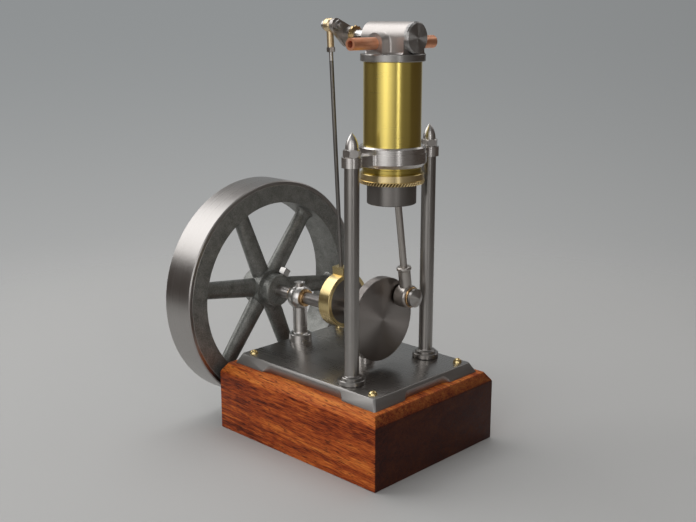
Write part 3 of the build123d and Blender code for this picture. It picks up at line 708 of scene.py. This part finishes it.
copper = drawn_copper()
for node in ("steam_pipe", "exhaust_pipe"):
    dress(node, copper)

# Bearing pedestals: turned steel posts with a ball at the shaft and a small oil cup on top,
# polished, with flanged bronze bushes pressed in from both sides.
BRONZE = (0.62, 0.40, 0.20)
for node in ("pedestal_outer", "pedestal_inner"):
    dress_turned(node, "polished " + node, BRIGHT_STEEL, roughness=0.28, axis="Z", anisotropy=0.3)
for node in ("bush_outer_left", "bush_outer_right", "bush_inner_left", "bush_inner_right"):
    dress_turned(node, "bronze " + node, BRONZE, roughness=0.26, axis="X")

# Crankshaft, crank disc and eccentric sheave: ground bar with a faced disc pressed on its end. The
# disc keeps the rings of its facing cut, which fan the light out from the middle.
SHAFT_STEEL = (0.42, 0.395, 0.38)
DISC_STEEL = (0.34, 0.312, 0.295)
SHEAVE_STEEL = (0.24, 0.225, 0.21)
shaft_line = middle("crank_disc")
sheave_middle = middle("eccentric_sheave")
dress_turned("crankshaft", "ground shaft steel", SHAFT_STEEL, roughness=0.36, axis="X",
             centre=shaft_line)
dress_turned("crank_disc", "faced disc steel", DISC_STEEL, roughness=0.42, axis="X",
             centre=shaft_line, anisotropy=0.95)
dress_turned("eccentric_sheave", "turned sheave steel", SHEAVE_STEEL, roughness=0.36, axis="X",
             centre=sheave_middle, tone=0.10, anisotropy=0.6)

# Flywheel: a grey iron casting with six oval spokes, left with the skin of the sand mould, its rim
# turned bright outside and along a narrow band of each face. A square-headed screw locks the hub.
RIM_BAND = 3.0
RIM_BAND_BLUR = 0.1
DARK_CASTING = (0.14, 0.142, 0.133, 1)
LIGHT_CASTING = (0.36, 0.364, 0.344, 1)
DARK_RIM = (0.37, 0.352, 0.34, 1)
LIGHT_RIM = (0.47, 0.452, 0.437, 1)
CASTING_GRAIN_SIZE = (0.9, 0.9, 0.9)
CASTING_LUMP_SIZE = (6, 6, 6)
CASTING_LIMITS = (0.32, 0.68)
CASTING_METALLIC = 0.72
CASTING_ROUGHNESS = (0.38, 0.56)
CASTING_DEPTH = 0.22 * MM
LUMP_HEIGHT = 2.0
RIM_LINES_PER_MM = 1.8
RIM_LINE_HEIGHT = 0.02
RIM_ROUGHNESS = (0.24, 0.40)
RIM_ANISOTROPY = 0.4
SCREW_STEEL = (0.46, 0.445, 0.43)


def flywheel_iron():
    """Rough cast iron, turned bright on the rim and along a band of each face."""
    finish, tree, shader = new_finish("cast and turned iron", 1.0)
    radius, along = lathe_coordinates(tree, "X", shaft_line)
    low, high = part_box("flywheel")
    band_start = (high.z - low.z) / 2 / MM - RIM_BAND
    grain = noise(tree, in_millimetres(tree, CASTING_GRAIN_SIZE), detail=3, roughness=0.6)
    lump = noise(tree, in_millimetres(tree, CASTING_LUMP_SIZE), detail=3)
    skin = weighted_sum(tree, (grain, MARK_SHARE), (lump, CLOUD_SHARE))
    cast = mix(tree, remap(tree, skin, *CASTING_LIMITS), DARK_CASTING, LIGHT_CASTING)
    ring = vector_calc(tree, "SCALE", combined(tree, X=radius, Y=along), RIM_LINES_PER_MM)
    line = noise(tree, ring, detail=4, roughness=0.7)
    turned = mix(tree, remap(tree, line, *NOISE_RANGE), DARK_RIM, LIGHT_RIM)
    machined = remap(tree, radius, band_start - RIM_BAND_BLUR, band_start + RIM_BAND_BLUR)
    tree.links.new(mix(tree, machined, cast, turned), shader.inputs["Base Color"])
    metallic = remap(tree, machined, 0.0, 1.0, CASTING_METALLIC, 1.0)
    tree.links.new(metallic, shader.inputs["Metallic"])
    cast_rough = remap(tree, grain, *NOISE_RANGE, *CASTING_ROUGHNESS)
    turned_rough = remap(tree, line, *NOISE_RANGE, *RIM_ROUGHNESS)
    rough = mix_values(tree, machined, cast_rough, turned_rough)
    tree.links.new(rough, shader.inputs["Roughness"])
    cast_height = calc(tree, "ADD", grain, calc(tree, "MULTIPLY", lump, LUMP_HEIGHT))
    line_height = calc(tree, "MULTIPLY", line, RIM_LINE_HEIGHT)
    height = mix_values(tree, machined, cast_height, line_height)
    tree.links.new(relief(tree, height, CASTING_DEPTH, 0.8), shader.inputs["Normal"])
    sheen_across(tree, shader, "X", RIM_ANISOTROPY)
    return finish


dress("flywheel", flywheel_iron())
bright_screw = rubbed_metal("bright screw steel", SCREW_STEEL, roughness=0.32, stretch=(0.8, 4, 4))
dress("flywheel_set_screw", bright_screw)

# Eccentric strap and valve rod: a one-piece brass strap with a lug on top, a small steel oil screw
# below, and a thin steel rod up to a brass eye, locked by a nut. The rod is bright at its thread.
STRAP_BRASS = (0.78, 0.62, 0.31)
ROD_STEEL = (0.22, 0.21, 0.20)
THREAD_STEEL = (0.56, 0.54, 0.52, 1)
THREAD_LENGTH = 5.0 * MM
THREAD_BLUR = 0.2 * MM
NUT_STEEL = (0.42, 0.40, 0.38)
ROD_END_BRASS = (0.82, 0.65, 0.40)


def valve_rod_steel():
    """Drawn steel, bright along the thread under the lock nut."""
    finish = rubbed_metal("drawn rod steel", ROD_STEEL, roughness=0.36, stretch=(0.6, 0.6, 14),
                          tone=0.15)
    tree = finish.node_tree
    thread_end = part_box("rod_lock_nut")[0].z - THREAD_LENGTH
    height = separated(tree, object_place(tree))["Z"]
    threaded = remap(tree, height, thread_end - THREAD_BLUR, thread_end)
    colour = tree.nodes["Principled BSDF"].inputs["Base Color"]
    tree.links.new(mix(tree, threaded, linked_to(colour), THREAD_STEEL), colour)
    return finish


dress_turned("eccentric_strap", "polished strap brass", STRAP_BRASS, roughness=0.28, axis="X",
             centre=sheave_middle, anisotropy=0.4)
dress("valve_rod", valve_rod_steel())
dress("rod_lock_nut", rubbed_metal("nut steel", NUT_STEEL, roughness=0.32,
                                   stretch=(0.5, 0.5, 3)))
dress("rod_end", rubbed_metal("polished rod end brass", ROD_END_BRASS, roughness=0.38,
                              stretch=(2.5, 2.5, 2.5)))
dress("lever_pin", bright_screw)

STRAP_SCREW_HEAD = 2.3
STRAP_SCREW_DOME = 0.9
STRAP_SCREW_SKIRT = 1.3
STRAP_SCREW_SLOT = 0.45
STRAP_SCREW_SLOT_DEPTH = 0.4
STRAP_SCREW_OFFSET = 1.5 * MM
STRAP_SCREW_SINK = 0.1 * MM
UPSIDE_DOWN = (math.pi, 0.0, 0.0)
strap_seat = (middle("eccentric_strap").x - STRAP_SCREW_OFFSET, sheave_middle.y,
              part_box("eccentric_strap")[0].z + STRAP_SCREW_SINK)
oil_screw_mesh = grown("strap_oil_screw", points_mesh("strap_screw_seat", [strap_seat]), screw_tree,
                       Head_Diameter=STRAP_SCREW_HEAD, Dome_Height=STRAP_SCREW_DOME,
                       Skirt_Height=STRAP_SCREW_SKIRT, Slot_Width=STRAP_SCREW_SLOT,
                       Slot_Depth=STRAP_SCREW_SLOT_DEPTH, Tilt=UPSIDE_DOWN, Finish=bright_screw)
oil_screw = finished_piece("strap_oil_screw", oil_screw_mesh, "eccentric_rod")

# Valve lever: a filed steel arm pressed on the valve spindle, with a toothed brass washer between
# its boss and the chest and a small nut on the pin.
LEVER_STEEL = (0.45, 0.42, 0.395)
WASHER_BRASS = (0.70, 0.50, 0.24)
dress("valve_lever", rubbed_metal("filed lever steel", LEVER_STEEL, roughness=0.42,
                                  stretch=(2, 6, 2), tone=0.12))
dress_turned("valve_spindle", "ground spindle steel", BRIGHT_STEEL, roughness=0.22, axis="X")
dress("lever_collar", rubbed_metal("washer brass", WASHER_BRASS, roughness=0.28, stretch=(1, 1, 1)))
dress("lever_nut", bright_screw)

# Piston: an iron trunk, turned, hollow from below, with the gudgeon pin across it. It shows only
# through the open lower end of the cylinder.
PISTON_IRON = (0.24, 0.23, 0.22)
dress_turned("piston", "piston iron", PISTON_IRON, roughness=0.38, axis="Z", tone=0.15)
dress("gudgeon_pin", bright_screw)

# Connecting rod: turned steel, thin at the top and swelling to a beaded neck over a round big end
# with a bronze bush. The crank pin ends in a turned point.
CONNECTING_ROD_STEEL = (0.48, 0.45, 0.42)
CRANK_PIN_STEEL = (0.46, 0.44, 0.42)
dress("connecting_rod", rubbed_metal("turned rod steel", CONNECTING_ROD_STEEL, roughness=0.30,
                                     stretch=(1.2, 1.2, 0.8)))
dress_turned("big_end_bush", "bronze big end bush", BRONZE, roughness=0.24, axis="X")
dress_turned("crank_pin", "turned crank pin", CRANK_PIN_STEEL, roughness=0.34, axis="X",
             anisotropy=0.9)

# Studio: a plain pale floor that fades into a pale backdrop. Three nested window panels stand at
# the front left, softboxes at the left, overhead and behind, and a strip and a dim panel at the
# right. The rest of the room is dark and warm.
FLOOR_RADIUS = 1.6
FLOOR_SIDES = 96
FLOOR_GREY = (0.53, 0.53, 0.522, 1)
FLOOR_ROUGHNESS = 0.75
FLOOR_FADE = (0.28, 0.72)
floor_mesh = bpy.data.meshes.new("floor")
floor_shape = bmesh.new()
bmesh.ops.create_circle(floor_shape, cap_ends=True, segments=FLOOR_SIDES, radius=FLOOR_RADIUS)
floor_shape.to_mesh(floor_mesh)
floor_shape.free()
floor = bpy.data.objects.new("floor", floor_mesh)
bpy.context.scene.collection.objects.link(floor)
floor_finish, floor_tree, floor_shader = new_finish("pale floor", 0.0)
floor_shader.inputs["Roughness"].default_value = FLOOR_ROUGHNESS
floor_shader.inputs["Base Color"].default_value = FLOOR_GREY
floor_distance = vector_calc(floor_tree, "LENGTH", object_place(floor_tree))
fade = remap(floor_tree, floor_distance, *FLOOR_FADE, smooth=True)
clear = add_node(floor_tree, "ShaderNodeBsdfTransparent")
faded = add_node(floor_tree, "ShaderNodeMixShader",
                 {0: fade, 1: floor_shader.outputs[0], 2: clear.outputs[0]})
floor_tree.links.new(faded.outputs[0], floor_tree.nodes["Material Output"].inputs["Surface"])
give_finish(floor, floor_finish)

BACKDROP_WAY = (-0.698, 0.716, 0.0)
RIGHT_WAY = (0.716, 0.698, 0.0)
BACKDROP_LOW = (0.44, 0.44, 0.435, 1)
BACKDROP_HIGH = (0.275, 0.287, 0.292, 1)
BACKDROP_RIGHT = (0.16, 0.16, 0.158, 1)
BACKDROP_RISE = (-0.36, 0.02)
BACKDROP_EDGE = (0.80, 0.92)
RIGHT_LIMITS = (-0.05, 0.33)
RIGHT_SHARES = (0.0, 0.28)
CEILING_RISE = (0.45, 0.85)
ROOM_WALLS = (0.062, 0.049, 0.041, 1)
ROOM_CEILING = (0.22, 0.22, 0.22, 1)
world = bpy.data.worlds.new("studio")
bpy.context.scene.world = world
world.use_nodes = True
room = world.node_tree
way = add_node(room, "ShaderNodeTexCoord").outputs["Generated"]
rise = separated(room, way)["Z"]
high = remap(room, rise, *BACKDROP_RISE, smooth=True)
backdrop = mix(room, high, BACKDROP_LOW, BACKDROP_HIGH)
rightward = vector_calc(room, "DOT_PRODUCT", way, RIGHT_WAY)
right = remap(room, rightward, *RIGHT_LIMITS, *RIGHT_SHARES)
backdrop = mix(room, right, backdrop, BACKDROP_RIGHT)
backward = vector_calc(room, "DOT_PRODUCT", way, BACKDROP_WAY)
behind = remap(room, backward, *BACKDROP_EDGE, smooth=True)
overhead = remap(room, rise, *CEILING_RISE, smooth=True)
around = mix(room, overhead, ROOM_WALLS, ROOM_CEILING)
room.links.new(mix(room, behind, around, backdrop), room.nodes["Background"].inputs["Color"])


def soft_lamp(name, place, aim_height, size, watts):
    """A panel of light that faces a point on the upright axis of the base."""
    lamp = bpy.data.lights.new(name, "AREA")
    lamp.shape = "RECTANGLE"
    lamp.size, lamp.size_y = size
    lamp.energy = watts
    holder = bpy.data.objects.new(name, lamp)
    holder.location = place
    aim = Vector((0.0, 0.0, aim_height)) - Vector(place)
    holder.rotation_euler = aim.to_track_quat("-Z", "Y").to_euler()
    bpy.context.scene.collection.objects.link(holder)


soft_lamp("window_panel", place=(0.36, -1.18, 0.56), aim_height=0.56, size=(1.7, 1.1), watts=3.9)
soft_lamp("window_middle", place=(0.351, -1.15, 0.56), aim_height=0.56, size=(0.95, 1.1), watts=1.6)
soft_lamp("window_core", place=(0.342, -1.12, 0.56), aim_height=0.56, size=(0.4, 1.1), watts=0.8)
soft_lamp("left_softbox", place=(-1.32, -0.62, 1.25), aim_height=0.12, size=(1.5, 1.4), watts=15.0)
soft_lamp("overhead_softbox", place=(-0.5, 0.35, 1.55), aim_height=0.12, size=(1.3, 1.1), watts=8.5)
soft_lamp("right_strip", place=(1.18, -0.54, 0.50), aim_height=0.50, size=(0.16, 1.0), watts=1.6)
soft_lamp("right_panel", place=(1.35, 0.05, 0.45), aim_height=0.45, size=(1.1, 0.9), watts=0.35)
soft_lamp("back_softbox", place=(0.15, 1.3, 1.0), aim_height=0.15, size=(0.9, 0.5), watts=1.2)

CAMERA_PLACE = (0.435363, -0.452683, 0.272231)
CAMERA_AZIMUTH = 44.263
CAMERA_PITCH = 13.9
CAMERA_ROLL = -0.036
CAMERA_LENS = 52.573
CAMERA_SENSOR = 36.0
CAMERA_CLIP = 0.01
camera = bpy.data.cameras.new("camera")
camera.sensor_width = CAMERA_SENSOR
camera.lens = CAMERA_LENS
camera.clip_start = CAMERA_CLIP
viewer = bpy.data.objects.new("camera", camera)
viewer.matrix_world = (Matrix.Translation(CAMERA_PLACE)
                       @ Matrix.Rotation(math.radians(CAMERA_AZIMUTH), 4, "Z")
                       @ Matrix.Rotation(math.radians(90 - CAMERA_PITCH), 4, "X")
                       @ Matrix.Rotation(math.radians(CAMERA_ROLL), 4, "Z"))
bpy.context.scene.collection.objects.link(viewer)
bpy.context.scene.camera = viewer
bpy.context.scene.view_settings.view_transform = "Standard"
